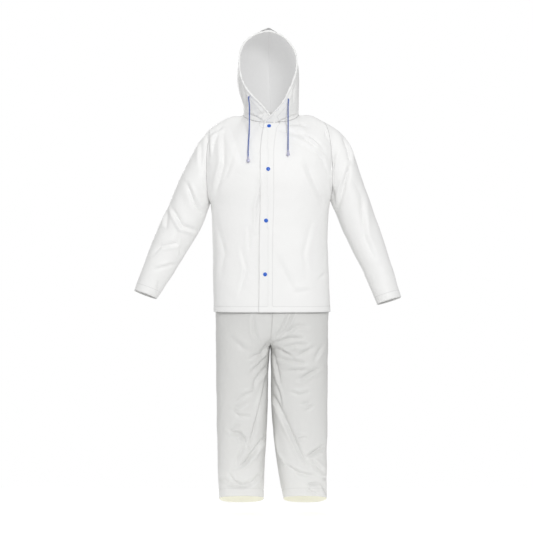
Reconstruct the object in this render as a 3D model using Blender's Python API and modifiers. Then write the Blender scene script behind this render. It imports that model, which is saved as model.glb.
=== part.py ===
# Rain suit: a hooded jacket over loose trousers, both hollow and filled out as if worn.
# Metres, +Z up, the front faces -Y and +X is the wearer's left.
# The origin is at the base of the neck, where the wearer's shoulders carry the suit.
# Every cloth piece is a grid of points: rows run up or along it, columns run across it.
# Pieces that are joined share the points of their seam, so the seam closes by construction.

import math

import bmesh
import bpy
import numpy as np
from mathutils import Matrix, Vector
from mathutils.bvhtree import BVHTree

WALL = 0.0015
SEAM_GAP = 0.0006
SAME_POINT = 1e-5

# Columns across the body and rows up it, as counts of intervals.
SHOULDER_COLUMNS = 6
NECK_COLUMNS = 6
LOWER_ROWS = 9
ARMHOLE_ROWS = 10
SLEEVE_ROWS = 18
HOOD_ROWS = 11
LEG_COLUMNS = 24
RISE_ROWS = 9
LEG_ROWS = 17

# Jacket body below the armholes: height, x of both side seams, y of the front and back.
BODY_RINGS = (
    # at, z, x_right, x_left, y_front, y_back
    (0.00, -0.738, -0.217, 0.223, -0.150, 0.146),
    (0.35, -0.600, -0.219, 0.219, -0.149, 0.142),
    (0.70, -0.450, -0.221, 0.213, -0.148, 0.138),
    (1.00, -0.330, -0.227, 0.222, -0.148, 0.138),
)
BODY_SQUARENESS = 2.7
SIDE_SEAM_Y = 0.004

# Rows above the armholes' lowest point: y and z in the middle, and how sharply the edge turns.
FRONT_ROWS = (
    # at, y_middle, z_middle, fullness, edge_turn
    (1.36, -0.149, -0.222, 2.6, 0.60),
    (1.70, -0.127, -0.115, 2.4, 0.80),
)
BACK_ROWS = (
    (1.36, 0.141, -0.210, 2.6, 0.60),
    (1.70, 0.128, -0.090, 2.4, 0.80),
)
TOP_ROW = 2.0

# Armholes: lowest and highest point, and x half-way up.
ARMHOLES = {
    # side: x_low, z_low, x_half, x_high, z_high, depth_front, depth_back
    "right": (-0.227, -0.330, -0.240, -0.215, -0.037, 0.086, 0.100),
    "left": (0.222, -0.320, 0.226, 0.188, -0.016, 0.084, 0.098),
}
ARMHOLE_Y = 0.004
# The share of the sleeve over which it loses the armhole's own shape.
ARMHOLE_FADE = 0.5

# Neck seam, an oval that dips at the front.
NECK_HALF_WIDTH = 0.104
NECK_Y = 0.012
NECK_FRONT_Y = -0.086
NECK_BACK_Y = 0.092
NECK_SIDE_Z = 0.006
NECK_FRONT_Z = -0.033
NECK_BACK_Z = 0.022
NECK_PART = 0.46
SHOULDER_RISE = 0.013

# The wearer's left front laps over the right one.
LAP_EDGE_TOP_X = -0.026
LAP_EDGE_HEM_X = -0.046
UNDER_EDGE_TOP_X = 0.014
UNDER_EDGE_HEM_X = 0.006
LAP_LIFT = 0.0032
LAP_RAMP = 0.030

# Sleeves: outer and inner edge in the front view, and y of the front and back.
SLEEVES = {
    "right": (
        # at, x_out, z_out, x_in, z_in, y_front, y_back
        (0.08, -0.258, -0.079, -0.2295, -0.339, -0.088, 0.097),
        (0.17, -0.302, -0.158, -0.2340, -0.350, -0.086, 0.093),
        (0.28, -0.336, -0.219, -0.2410, -0.370, -0.083, 0.087),
        (0.38, -0.362, -0.279, -0.2530, -0.401, -0.080, 0.080),
        (0.50, -0.391, -0.345, -0.2700, -0.440, -0.077, 0.072),
        (0.61, -0.419, -0.400, -0.2930, -0.478, -0.076, 0.064),
        (0.72, -0.443, -0.463, -0.3220, -0.524, -0.075, 0.056),
        (0.84, -0.469, -0.531, -0.3600, -0.584, -0.074, 0.046),
        (0.93, -0.494, -0.594, -0.3970, -0.643, -0.073, 0.038),
        (1.00, -0.514, -0.659, -0.4300, -0.690, -0.073, 0.033),
    ),
    "left": (
        (0.05, 0.234, -0.041, 0.2245, -0.328, -0.086, 0.096),
        (0.12, 0.282, -0.087, 0.2280, -0.338, -0.086, 0.094),
        (0.22, 0.314, -0.158, 0.2340, -0.352, -0.084, 0.089),
        (0.32, 0.337, -0.219, 0.2430, -0.371, -0.082, 0.084),
        (0.42, 0.359, -0.279, 0.2550, -0.402, -0.080, 0.077),
        (0.52, 0.381, -0.340, 0.2720, -0.441, -0.077, 0.071),
        (0.62, 0.401, -0.402, 0.2950, -0.486, -0.076, 0.063),
        (0.72, 0.423, -0.462, 0.3180, -0.532, -0.075, 0.056),
        (0.82, 0.443, -0.525, 0.3440, -0.583, -0.074, 0.048),
        (0.92, 0.466, -0.600, 0.3720, -0.647, -0.073, 0.039),
        (1.00, 0.490, -0.684, 0.3980, -0.712, -0.073, 0.033),
    ),
}
CUFF_TILT = 0.006

# Hood: the face opening from the neck to the forehead, and the seam over the middle of the head.
HOOD_RIMS = {
    "right": (
        # at, x, y, z
        (0.06, -0.001, -0.096, -0.010),
        (0.16, -0.030, -0.104, 0.027),
        (0.28, -0.070, -0.106, 0.064),
        (0.42, -0.108, -0.094, 0.121),
        (0.54, -0.119, -0.083, 0.170),
        (0.66, -0.117, -0.074, 0.220),
        (0.80, -0.094, -0.064, 0.274),
        (0.91, -0.050, -0.056, 0.305),
    ),
    "left": (
        (0.08, 0.000, -0.102, -0.006),
        (0.20, 0.035, -0.108, 0.028),
        (0.32, 0.063, -0.106, 0.073),
        (0.44, 0.083, -0.096, 0.125),
        (0.55, 0.096, -0.085, 0.172),
        (0.66, 0.095, -0.075, 0.218),
        (0.80, 0.072, -0.064, 0.266),
        (0.91, 0.034, -0.056, 0.300),
    ),
}
HOOD_FOREHEAD = (-0.008, -0.052, 0.314)
HOOD_PEAK = (-0.006, 0.088, 0.344)
HOOD_BACK = (
    # at, x, y, z
    (0.30, -0.003, 0.136, 0.078),
    (0.55, -0.006, 0.157, 0.160),
    (0.80, -0.008, 0.140, 0.264),
)
HOOD_CROWN = ((0.50, -0.009, 0.018, 0.338),)
HOOD_PEAK_ROUNDING = 0.100
HOOD_SIDE_FULLNESS = {"right": -0.006, "left": -0.008}
HOOD_TOP_FULLNESS = {"right": 0.13, "left": 0.04}

# Trousers: x of the seam between the legs and of the outside, y of the front and back,
# the angle at which the row starts off the line to the middle, and its height at both ends.
LEGS = {
    "right": (
        # at, z_out, z_seam, x_out, x_seam, y_front, y_back, start_angle
        (0.00, -0.505, -0.505, -0.190, 0.003, -0.128, 0.122, 90),
        (0.14, -0.640, -0.640, -0.2162, 0.006, -0.137, 0.131, 90),
        (0.26, -0.762, -0.762, -0.208, 0.004, -0.140, 0.134, 88),
        (0.32, -0.822, -0.820, -0.208, 0.000, -0.140, 0.134, 76),
        (0.36, -0.858, -0.850, -0.208, -0.002, -0.138, 0.133, 52),
        (0.39, -0.886, -0.866, -0.208, -0.003, -0.136, 0.132, 25),
        (0.42, -0.914, -0.870, -0.208, -0.003, -0.133, 0.131, 0),
        (0.50, -0.985, -0.960, -0.208, -0.009, -0.125, 0.126, 0),
        (0.58, -1.060, -1.050, -0.207, -0.010, -0.118, 0.117, 0),
        (0.70, -1.175, -1.172, -0.204, -0.014, -0.110, 0.102, 0),
        (0.82, -1.290, -1.288, -0.202, -0.022, -0.096, 0.092, 0),
        (0.92, -1.375, -1.374, -0.199, -0.025, -0.086, 0.086, 0),
        (1.00, -1.441, -1.440, -0.196, -0.027, -0.080, 0.082, 0),
    ),
    "left": (
        (0.00, -0.505, -0.505, 0.196, 0.003, -0.128, 0.122, 90),
        (0.14, -0.640, -0.640, 0.2180, 0.006, -0.137, 0.131, 90),
        (0.26, -0.762, -0.762, 0.216, 0.004, -0.140, 0.134, 88),
        (0.32, -0.822, -0.820, 0.216, 0.000, -0.140, 0.134, 76),
        (0.36, -0.858, -0.850, 0.216, -0.002, -0.138, 0.133, 52),
        (0.39, -0.886, -0.866, 0.216, -0.003, -0.136, 0.132, 25),
        (0.42, -0.914, -0.870, 0.216, -0.003, -0.133, 0.131, 0),
        (0.50, -0.985, -0.960, 0.215, -0.001, -0.125, 0.126, 0),
        (0.58, -1.060, -1.050, 0.213, -0.001, -0.118, 0.117, 0),
        (0.70, -1.175, -1.172, 0.214, 0.005, -0.110, 0.102, 0),
        (0.82, -1.290, -1.288, 0.211, 0.019, -0.096, 0.092, 0),
        (0.92, -1.375, -1.374, 0.211, 0.032, -0.086, 0.086, 0),
        (1.00, -1.441, -1.440, 0.211, 0.047, -0.080, 0.082, 0),
    ),
}
LEG_SQUARENESS = 2.4
HEM_RISE = 0.018
HEM_DROP = 0.014

# Waistband: an elastic casing, with the cloth gathered into it.
WAISTBAND_TOP_Z = -0.472

# Largest folds of the cloth, troughs as seen from outside, as straight runs in the front view.
FOLDS = (
    # face, x_0, z_0, x_1, z_1, depth, half_width
    ("front", -0.006, -0.868, -0.085, -0.985, 0.010, 0.020),
    ("front", -0.012, -0.960, -0.095, -1.110, 0.009, 0.022),
    ("front", 0.004, -0.862, 0.120, -0.795, 0.007, 0.018),
    ("front", 0.008, -0.880, 0.150, -0.905, 0.008, 0.022),
    ("front", 0.060, -1.010, 0.190, -0.975, 0.006, 0.020),
    ("front", 0.022, -1.060, 0.125, -1.330, 0.011, 0.022),
    ("front", -0.150, -1.180, -0.080, -1.250, 0.008, 0.022),
    ("front", -0.125, -1.330, -0.015, -1.235, 0.009, 0.024),
    ("front", 0.125, -1.275, 0.205, -1.230, 0.009, 0.020),
    ("front", 0.070, -1.290, 0.195, -1.375, 0.010, 0.024),
    ("front", -0.185, -1.360, -0.060, -1.395, 0.006, 0.022),
    ("front", -0.395, -0.420, -0.320, -0.480, 0.006, 0.018),
    ("front", -0.350, -0.300, -0.290, -0.400, 0.006, 0.020),
    ("front", -0.440, -0.560, -0.385, -0.610, 0.005, 0.018),
    ("front", 0.030, -0.090, 0.200, -0.165, 0.006, 0.018),
    ("front", 0.295, -0.150, 0.258, -0.300, 0.006, 0.018),
    ("back", 0.006, -0.900, 0.110, -0.990, 0.009, 0.024),
    ("back", -0.010, -0.900, -0.120, -0.975, 0.009, 0.024),
    ("back", -0.180, -1.190, -0.040, -1.215, 0.008, 0.022),
    ("back", 0.050, -1.185, 0.190, -1.225, 0.008, 0.022),
    ("back", -0.150, -0.240, -0.060, -0.330, 0.006, 0.024),
    ("back", 0.060, -0.300, 0.160, -0.210, 0.006, 0.024),
    ("back", -0.400, -0.400, -0.330, -0.470, 0.006, 0.018),
    ("back", 0.310, -0.400, 0.380, -0.450, 0.006, 0.018),
)

# Snaps down the front lap, and the drawstring with its moulded ends.
SNAP_SIDES = 16
SNAP_SEAT = 0.0006
SNAPS = (
    # name, x, z
    ("snap_neck", -0.0075, -0.046),
    ("snap_chest", -0.0106, -0.209),
    ("snap_waist", -0.0186, -0.399),
    ("snap_hem", -0.0223, -0.597),
)
SNAP_PROFILE = ((0.0, 3.0), (3.2, 2.8), (5.6, 2.1), (7.0, 1.1), (7.5, 0.4), (7.1, 0.0), (0.0, 0.0))
CORD_RADIUS = 0.00225
CORD_STEP = 0.006
CORDS = {
    # Points along the middle of each free end, from the hole in the hood's edge downwards.
    "right": (
        (-0.0813, -0.0988, 0.0621),
        (-0.0830, -0.1015, 0.0616),
        (-0.0834, -0.1048, 0.0565),
        (-0.0818, -0.1058, 0.0440),
        (-0.0802, -0.1060, 0.0200),
        (-0.0805, -0.1066, -0.0250),
        (-0.0812, -0.1120, -0.0720),
        (-0.0838, -0.1290, -0.1180),
        (-0.0846, -0.1440, -0.1450),
        (-0.0844, -0.1482, -0.1560),
        (-0.0844, -0.1485, -0.1640),
    ),
    "left": (
        (0.0630, -0.1039, 0.0526),
        (0.0644, -0.1068, 0.0519),
        (0.0646, -0.1092, 0.0470),
        (0.0636, -0.1100, 0.0350),
        (0.0630, -0.1100, 0.0100),
        (0.0632, -0.1105, -0.0400),
        (0.0632, -0.1170, -0.0800),
        (0.0628, -0.1330, -0.1120),
        (0.0627, -0.1430, -0.1280),
        (0.0628, -0.1453, -0.1340),
        (0.0628, -0.1455, -0.1400),
    ),
}
CORD_END_SIDES = 12
CORD_END_GAP = 0.0004
CORD_END_PROFILE = (
    (0.0, 0.0),
    (2.6, 0.0),
    (3.2, -1.0),
    (3.6, -4.0),
    (5.0, -10.0),
    (6.2, -14.5),
    (5.6, -18.0),
    (3.4, -20.2),
    (0.0, -21.0),
)

# Grids whose rows and columns run so that their normals must be turned round.
FLIPPED = {
    "front_left": False,
    "front_right": False,
    "back": True,
    "sleeve_right": False,
    "sleeve_left": True,
    "hood_right": True,
    "hood_left": False,
    "leg_right": False,
    "leg_left": True,
    "waistband": True,
}
TROUSER_PIECES = ("leg_right", "leg_left", "waistband")

MATERIALS = {
    # name: colour, roughness
    "jacket_vinyl": ((0.93, 0.93, 0.93, 1.0), 0.45),
    "trousers_vinyl": ((0.80, 0.80, 0.80, 1.0), 0.45),
    "snap_plastic": ((0.03, 0.15, 0.66, 1.0), 0.35),
    "cord_blue": ((0.07, 0.12, 0.42, 1.0), 0.80),
    "clear_plastic": ((0.78, 0.78, 0.88, 1.0), 0.20),
}


def clear_scene():
    for thing in list(bpy.data.objects):
        bpy.data.objects.remove(thing)


def make_material(name):
    colour, roughness = MATERIALS[name]
    material = bpy.data.materials.get(name) or bpy.data.materials.new(name)
    material.use_nodes = True
    shader = material.node_tree.nodes["Principled BSDF"]
    shader.inputs["Base Color"].default_value = colour
    shader.inputs["Roughness"].default_value = roughness
    material.diffuse_color = colour
    return material


def link(name, data, material):
    thing = bpy.data.objects.new(name, data)
    data.materials.append(make_material(material))
    bpy.data.collections["rain_suit"].objects.link(thing)
    return thing


def smooth_step(value):
    """0 below 0, 1 above 1, and a smooth rise between."""
    t = np.clip(value, 0.0, 1.0)
    return t * t * (3 - 2 * t)


def curve_through(controls, knots, at):
    """Points at the values `at` on the smooth curve through controls, which sit at knots."""
    controls = np.asarray(controls, float)
    knots = np.asarray(knots, float)
    slopes = np.gradient(controls, knots, axis=0)
    slopes[0] = (controls[1] - controls[0]) / (knots[1] - knots[0])
    slopes[-1] = (controls[-1] - controls[-2]) / (knots[-1] - knots[-2])
    at = np.asarray(at, float)
    first = np.clip(np.searchsorted(knots, at, side="right") - 1, 0, len(knots) - 2)
    span = knots[first + 1] - knots[first]
    shape = (-1,) + (1,) * (controls.ndim - 1)
    t = ((at - knots[first]) / span).reshape(shape)
    span = span.reshape(shape)
    value = (2 * t**3 - 3 * t**2 + 1) * controls[first]
    value += (t**3 - 2 * t**2 + t) * span * slopes[first]
    value += (3 * t**2 - 2 * t**3) * controls[first + 1]
    return value + (t**3 - t**2) * span * slopes[first + 1]


# Jacket body

def armhole(side, face, part):
    """Points on one half of an armhole, from its lowest point (part 0) to the shoulder (part 1)."""
    x_low, z_low, x_half, x_high, z_high, depth_front, depth_back = ARMHOLES[side]
    part = np.asarray(part, float)
    depth = -depth_front if face == "front" else depth_back
    turn = np.pi * part
    low, half, high = (1 - part) * (1 - 2 * part), 4 * part * (1 - part), part * (2 * part - 1)
    x = low * x_low + half * x_half + high * x_high
    y = ARMHOLE_Y + depth * np.abs(np.sin(turn)) ** 0.9
    z = (z_low + z_high) / 2 - (z_high - z_low) / 2 * np.cos(turn)
    return np.stack([x, y, z], axis=-1)


def neck_point(face, across):
    """A point of the neck seam: across runs from -1 on the wearer's right to 1 on the left."""
    turn = across * np.pi / 2
    middle_y, middle_z = (
        (NECK_FRONT_Y, NECK_FRONT_Z) if face == "front" else (NECK_BACK_Y, NECK_BACK_Z)
    )
    x = NECK_HALF_WIDTH * np.sin(turn)
    y = NECK_Y + (middle_y - NECK_Y) * np.cos(turn)
    z = NECK_SIDE_Z + (middle_z - NECK_SIDE_Z) * np.cos(turn)
    return np.stack([x, y, z], axis=-1)


def top_row(face, across):
    """Shoulder seam, neck seam and shoulder seam, as one row."""
    across = np.asarray(across, float)
    on_neck = neck_point(face, np.clip(across / NECK_PART, -1, 1))
    for side, sign in (("right", -1), ("left", 1)):
        shoulder = armhole(side, face, 1.0)
        neck = neck_point(face, float(sign))
        along = np.clip((sign * across - NECK_PART) / (1 - NECK_PART), 0, 1)[:, None]
        seam = neck + (shoulder - neck) * along
        seam[:, 2] += SHOULDER_RISE * np.sin(np.pi * along[:, 0])
        on_neck = np.where(along > 0, seam, on_neck)
    return on_neck


def arched_row(first, last, middle, fullness, edge_turn, across):
    """A row from first to last that bows out through middle."""
    across = np.asarray(across, float)
    reach = np.sin(across * np.pi / 2)
    share = (reach + 1)[:, None] / 2
    base = first + (last - first) * share
    bow = (1 - np.abs(reach) ** fullness) ** edge_turn
    middle_base = (first + last) / 2
    return base + bow[:, None] * (np.asarray(middle) - middle_base)


def body_row(face, at, across):
    """One control row of the front or back, for a value of at in the tables."""
    if at == TOP_ROW:
        return top_row(face, across)
    rows = FRONT_ROWS if face == "front" else BACK_ROWS
    for row_at, y_middle, z_middle, fullness, edge_turn in rows:
        if row_at == at:
            part = at - 1.0
            first, last = armhole("right", face, part), armhole("left", face, part)
            middle = ((first[0] + last[0]) / 2, y_middle, z_middle)
            return arched_row(first, last, middle, fullness, edge_turn, across)
    ring = next(ring for ring in BODY_RINGS if ring[0] == at)
    _, z, x_right, x_left, y_front, y_back = ring
    first = armhole("right", face, 0.0) if at == 1.0 else np.array((x_right, SIDE_SEAM_Y, z))
    last = armhole("left", face, 0.0) if at == 1.0 else np.array((x_left, SIDE_SEAM_Y, z))
    middle = ((x_right + x_left) / 2, y_front if face == "front" else y_back, z)
    return arched_row(first, last, middle, BODY_SQUARENESS, 1 / BODY_SQUARENESS, across)


def body_rows_at():
    lower = np.linspace(0, 1, LOWER_ROWS + 1)
    upper = 1 + np.linspace(0, 1, ARMHOLE_ROWS + 1)[1:]
    return np.concatenate([lower, upper])


def side_edge(side, face, at):
    """The side seam up to the armhole, then the armhole's edge."""
    column = 2 if side == "right" else 3
    seam = [(ring[column], SIDE_SEAM_Y, ring[1]) for ring in BODY_RINGS[:-1]]
    seam.append(tuple(armhole(side, face, 0.0)))
    below = curve_through(seam, [ring[0] for ring in BODY_RINGS], np.minimum(at, 1.0))
    return np.where((at > 1)[:, None], armhole(side, face, np.maximum(at - 1, 0)), below)


def hem_across(x):
    """The value of across at which the lowest row has this x."""
    _, _, x_right, x_left, _, _ = BODY_RINGS[0]
    middle, half = (x_right + x_left) / 2, (x_left - x_right) / 2
    return math.asin((x - middle) / half) / (math.pi / 2)


def neck_across(x):
    return NECK_PART * math.asin(x / NECK_HALF_WIDTH) / (math.pi / 2)


def body_grid(face, first_edge, last_edge, columns):
    """The rows of the front or back between two edges, each given as across at the hem and neck."""
    knots = [ring[0] for ring in BODY_RINGS] + [row[0] for row in FRONT_ROWS] + [TOP_ROW]
    controls = []
    for at in knots:
        share = at / TOP_ROW
        start = first_edge[0] + (first_edge[1] - first_edge[0]) * share
        end = last_edge[0] + (last_edge[1] - last_edge[0]) * share
        top_start, top_end = first_edge[1], last_edge[1]
        spread = (columns - top_start) / (top_end - top_start)
        controls.append(body_row(face, at, start + (end - start) * spread))
    at = body_rows_at()
    grid = curve_through(controls, knots, at)
    for side, column, edge in (("right", 0, first_edge), ("left", -1, last_edge)):
        if abs(edge[1]) == 1:
            miss = side_edge(side, face, at) - grid[:, column]
            weight = np.linspace(1, 0, grid.shape[1]) ** 3
            weight = weight if column == 0 else weight[::-1]
            grid += weight[None, :, None] * miss[:, None, :]
    return grid


def across_columns(start, end):
    """Columns with one exactly at each place where the neck meets the shoulder."""
    stops = [start] + [s for s in (-NECK_PART, NECK_PART) if start < s < end] + [end]
    columns = [start]
    for low, high in zip(stops, stops[1:]):
        middle = abs(low + high) / 2
        shoulder = middle > NECK_PART
        both = not shoulder and low == -NECK_PART and high == NECK_PART
        count = SHOULDER_COLUMNS if shoulder else NECK_COLUMNS * (2 if both else 1)
        columns += list(np.linspace(low, high, count + 1)[1:])
    return np.array(columns)


def jacket_body():
    """Outer points of the back and of both fronts."""
    lap = (hem_across(LAP_EDGE_HEM_X), neck_across(LAP_EDGE_TOP_X))
    under = (hem_across(UNDER_EDGE_HEM_X), neck_across(UNDER_EDGE_TOP_X))
    left = body_grid("front", lap, (1.0, 1.0), across_columns(lap[1], 1.0))
    right = body_grid("front", (-1.0, -1.0), under, across_columns(-1.0, under[1]))
    back = body_grid("back", (-1.0, -1.0), (1.0, 1.0), across_columns(-1.0, 1.0))
    return {"front_left": left, "front_right": right, "back": back}


# Sleeves

def sleeve_ring(row, columns):
    """One section of a sleeve, from the underarm seam round the front and back to it."""
    _, x_out, z_out, x_in, z_in, y_front, y_back = row
    turn = np.linspace(0, 2 * np.pi, columns + 1)
    x = (x_in + x_out) / 2 + (x_in - x_out) / 2 * np.cos(turn)
    z = (z_in + z_out) / 2 + (z_in - z_out) / 2 * np.cos(turn)
    middle, half = (y_front + y_back) / 2, (y_back - y_front) / 2
    return np.stack([x, middle - half * np.sin(turn), z], axis=-1)


def sleeve_grid(side):
    part = np.linspace(0, 1, ARMHOLE_ROWS + 1)
    front = armhole(side, "front", part)
    back = armhole(side, "back", part)[::-1][1:]
    first = np.concatenate([front, back])
    rows = SLEEVES[side]
    x_low, z_low, _, x_high, z_high, depth_front, depth_back = ARMHOLES[side]
    flat = (0, x_high, z_high, x_low, z_low, ARMHOLE_Y - depth_front, ARMHOLE_Y + depth_back)
    bulge = first - sleeve_ring(flat, 2 * ARMHOLE_ROWS)
    controls = [first]
    for row in rows:
        fade = 1 - smooth_step(row[0] / ARMHOLE_FADE)
        controls.append(sleeve_ring(row, 2 * ARMHOLE_ROWS) + bulge * fade)
    knots = [0.0] + [row[0] for row in rows]
    grid = curve_through(controls, knots, np.linspace(0, 1, SLEEVE_ROWS + 1))
    along = grid[-1].mean(axis=0) - grid[-3].mean(axis=0)
    along /= np.linalg.norm(along)
    turn = np.linspace(0, 2 * np.pi, 2 * ARMHOLE_ROWS + 1)
    for row, share in ((-1, 1.0), (-2, 0.5)):
        grid[row] -= (CUFF_TILT * share * np.sin(turn))[:, None] * along
    return grid


# Hood

def hood_grid(side, fronts, back):
    """Outer points of one half of the hood, on the neck row of the front and back panels."""
    sign = -1 if side == "right" else 1
    front_top = fronts[-1]
    back_top = back[-1]
    middle = back_top.shape[0] // 2
    if side == "right":
        neck = np.concatenate(
            [front_top[: SHOULDER_COLUMNS - 1 : -1], back_top[SHOULDER_COLUMNS + 1 : middle + 1]]
        )
    else:
        neck_end = front_top.shape[0] - SHOULDER_COLUMNS
        neck = np.concatenate(
            [front_top[:neck_end], back_top[middle : -SHOULDER_COLUMNS - 1][::-1]]
        )
    q = np.linspace(0, 1, HOOD_ROWS + 1)
    p = np.linspace(0, 1, len(neck))
    rows = HOOD_RIMS[side]
    rim = curve_through(
        [neck[0]] + [row[1:] for row in rows] + [HOOD_FOREHEAD],
        [0.0] + [row[0] for row in rows] + [1.0],
        q,
    )
    rear = curve_through(
        [neck[-1]] + [row[1:] for row in HOOD_BACK] + [HOOD_PEAK],
        [0.0] + [row[0] for row in HOOD_BACK] + [1.0],
        q,
    )
    crown = curve_through(
        [HOOD_FOREHEAD] + [row[1:] for row in HOOD_CROWN] + [HOOD_PEAK],
        [0.0] + [row[0] for row in HOOD_CROWN] + [1.0],
        p,
    )
    across, up = p[None, :, None], q[:, None, None]
    grid = (1 - up) * neck[None] + up * crown[None]
    grid = grid + (1 - across) * rim[:, None] + across * rear[:, None]
    corners = (1 - up) * ((1 - across) * neck[0] + across * neck[-1])
    corners = corners + up * ((1 - across) * rim[-1] + across * rear[-1])
    grid = grid - corners
    swell = np.sin(np.pi * p[None]) * np.sin(np.pi * q[:, None])
    grid[..., 0] += sign * HOOD_SIDE_FULLNESS[side] * swell
    high = np.sin(np.pi * p[None]) * q[:, None] ** 4 * (1 - q[:, None])
    grid[..., 0] += sign * HOOD_TOP_FULLNESS[side] * high
    corner = np.sqrt((1 - p[None]) * (1 - q[:, None])) * p[None] ** 2 * q[:, None] ** 2
    grid[..., 0] += sign * HOOD_PEAK_ROUNDING * corner
    grid[..., 2] += 0.012 * np.sin(np.pi * p[None]) * q[:, None] ** 2 * (1 - q[:, None]) * 4
    return grid


# Trousers

def leg_row(row, columns):
    """One row of a leg, from the front seam round the outside to the back seam."""
    _, z_out, z_seam, x_out, x_seam, y_front, y_back, start = row
    power = 2 / LEG_SQUARENESS
    first = math.radians(start)
    seam_reach = max(math.cos(first), 0.0) ** power
    turn = np.linspace(first, 2 * np.pi - first, columns + 1)
    cosine, sine = np.cos(turn), np.sin(turn)
    reach = np.sign(cosine) * np.abs(cosine) ** power
    reach[0] = reach[-1] = seam_reach
    half_width = (x_seam - x_out) / (1 + seam_reach)
    x = x_out + half_width * (1 + reach)
    y = np.where(sine > 0, y_front, y_back) * np.abs(sine) ** power
    z = z_out + (z_seam - z_out) * ((1 + reach) / (1 + seam_reach)) ** 1.5
    return np.stack([x, y, z], axis=-1)


def leg_grid(side):
    rows = LEGS[side]
    controls = np.array([leg_row(row, LEG_COLUMNS) for row in rows])
    knots = np.array([row[0] for row in rows])
    upper = np.linspace(0, 0.42, RISE_ROWS + 1)
    lower = np.linspace(0.42, 1, LEG_ROWS + 1)[1:]
    grid = curve_through(controls, knots, np.concatenate([upper, lower]))
    below = slice(RISE_ROWS + 1, None)
    for column, columns in ((0, range(5)), (-1, range(-1, -6, -1))):
        miss = -grid[below, column, 1]
        for step, near in enumerate(columns):
            grid[below, near, 1] += miss * (1 - step / 5) ** 2
    turn = np.linspace(0, 2 * np.pi, LEG_COLUMNS + 1)
    rise = np.where(np.sin(turn) > 0, HEM_RISE, HEM_DROP) * np.sin(turn)
    for row, share in ((-1, 1.0), (-2, 0.6), (-3, 0.25)):
        grid[row, :, 2] += share * rise
    return grid


def waistband_grid(legs):
    """A band on the upper edge of both legs, from the middle of the back round to it again."""
    lower = np.concatenate([legs["right"][0][::-1], legs["left"][0][1:]])
    upper = lower.copy()
    upper[:, 2] = WAISTBAND_TOP_Z
    return np.stack([upper, (upper + lower) / 2, lower])


# Turning grids of points into closed walls

def grid_normals(grid, flip):
    """The mean of the normals of the faces round each point."""
    first = grid[1:, 1:] - grid[:-1, :-1]
    second = grid[1:, :-1] - grid[:-1, 1:]
    face = np.cross(first, second)
    face /= np.linalg.norm(face, axis=-1, keepdims=True)
    normal = np.zeros_like(grid)
    for rows in (slice(None, -1), slice(1, None)):
        for columns in (slice(None, -1), slice(1, None)):
            normal[rows, columns] += face
    normal /= np.linalg.norm(normal, axis=-1, keepdims=True)
    return -normal if flip else normal


def shared_normals(grids, flips):
    """Normals of every grid, averaged where grids meet, or where one meets itself."""
    normals = {name: grid_normals(grid, flips[name]) for name, grid in grids.items()}
    total = {}
    for name, grid in grids.items():
        keys = np.round(grid / SAME_POINT).astype(int)
        for index in np.ndindex(grid.shape[:2]):
            key = tuple(keys[index])
            total[key] = total.get(key, 0) + normals[name][index]
    shared = {}
    for name, grid in grids.items():
        keys = np.round(grid / SAME_POINT).astype(int)
        out = np.empty_like(grid)
        for index in np.ndindex(grid.shape[:2]):
            out[index] = total[tuple(keys[index])]
        shared[name] = out / np.linalg.norm(out, axis=-1, keepdims=True)
    return normals, shared


def fold_depth(points, normals):
    """How far the folds press each point in."""
    depth = np.zeros(points.shape[:2])
    x, z = points[..., 0], points[..., 2]
    for face, x_0, z_0, x_1, z_1, deep, half_width in FOLDS:
        run = np.array((x_1 - x_0, z_1 - z_0))
        length = np.linalg.norm(run)
        run /= length
        along = (x - x_0) * run[0] + (z - z_0) * run[1]
        off = np.abs((z - z_0) * run[0] - (x - x_0) * run[1])
        ends = smooth_step(along / (0.3 * length)) * smooth_step((length - along) / (0.3 * length))
        facing = -normals[..., 1] if face == "front" else normals[..., 1]
        depth += deep * smooth_step(1 - off / half_width) * ends * smooth_step(facing * 2)
    return depth


def lap_weight(points):
    """1 where the wearer's left half lies on the right one, 0 away from there."""
    x, y, z = points[..., 0], points[..., 1], points[..., 2]
    weight = 1 - smooth_step((x - UNDER_EDGE_TOP_X - 0.012) / LAP_RAMP)
    weight = weight * (1 - smooth_step((z - 0.030) / 0.050))
    return weight * smooth_step(-y / 0.030)


def pull_back(grid):
    """A small step from each edge towards the inside of the piece."""
    step = np.zeros_like(grid)
    row_run = np.gradient(grid, axis=1)
    column_run = np.gradient(grid, axis=0)
    edges = (
        ((0, slice(None)), (1, slice(None)), row_run),
        ((-1, slice(None)), (-2, slice(None)), row_run),
        ((slice(None), 0), (slice(None), 1), column_run),
        ((slice(None), -1), (slice(None), -2), column_run),
    )
    for edge, inside, run in edges:
        seam = run[edge] / np.linalg.norm(run[edge], axis=-1, keepdims=True)
        inward = grid[inside] - grid[edge]
        inward = inward - (inward * seam).sum(-1, keepdims=True) * seam
        step[edge] += SEAM_GAP / 2 * inward / np.linalg.norm(inward, axis=-1, keepdims=True)
    for corner, inside in (((0, 0), (1, 1)), ((0, -1), (1, -2)), ((-1, 0), (-2, 1)), ((-1, -1), (-2, -2))):
        inward = grid[inside] - grid[corner]
        step[corner] = SEAM_GAP * 0.75 * inward / np.linalg.norm(inward)
    return step


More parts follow.
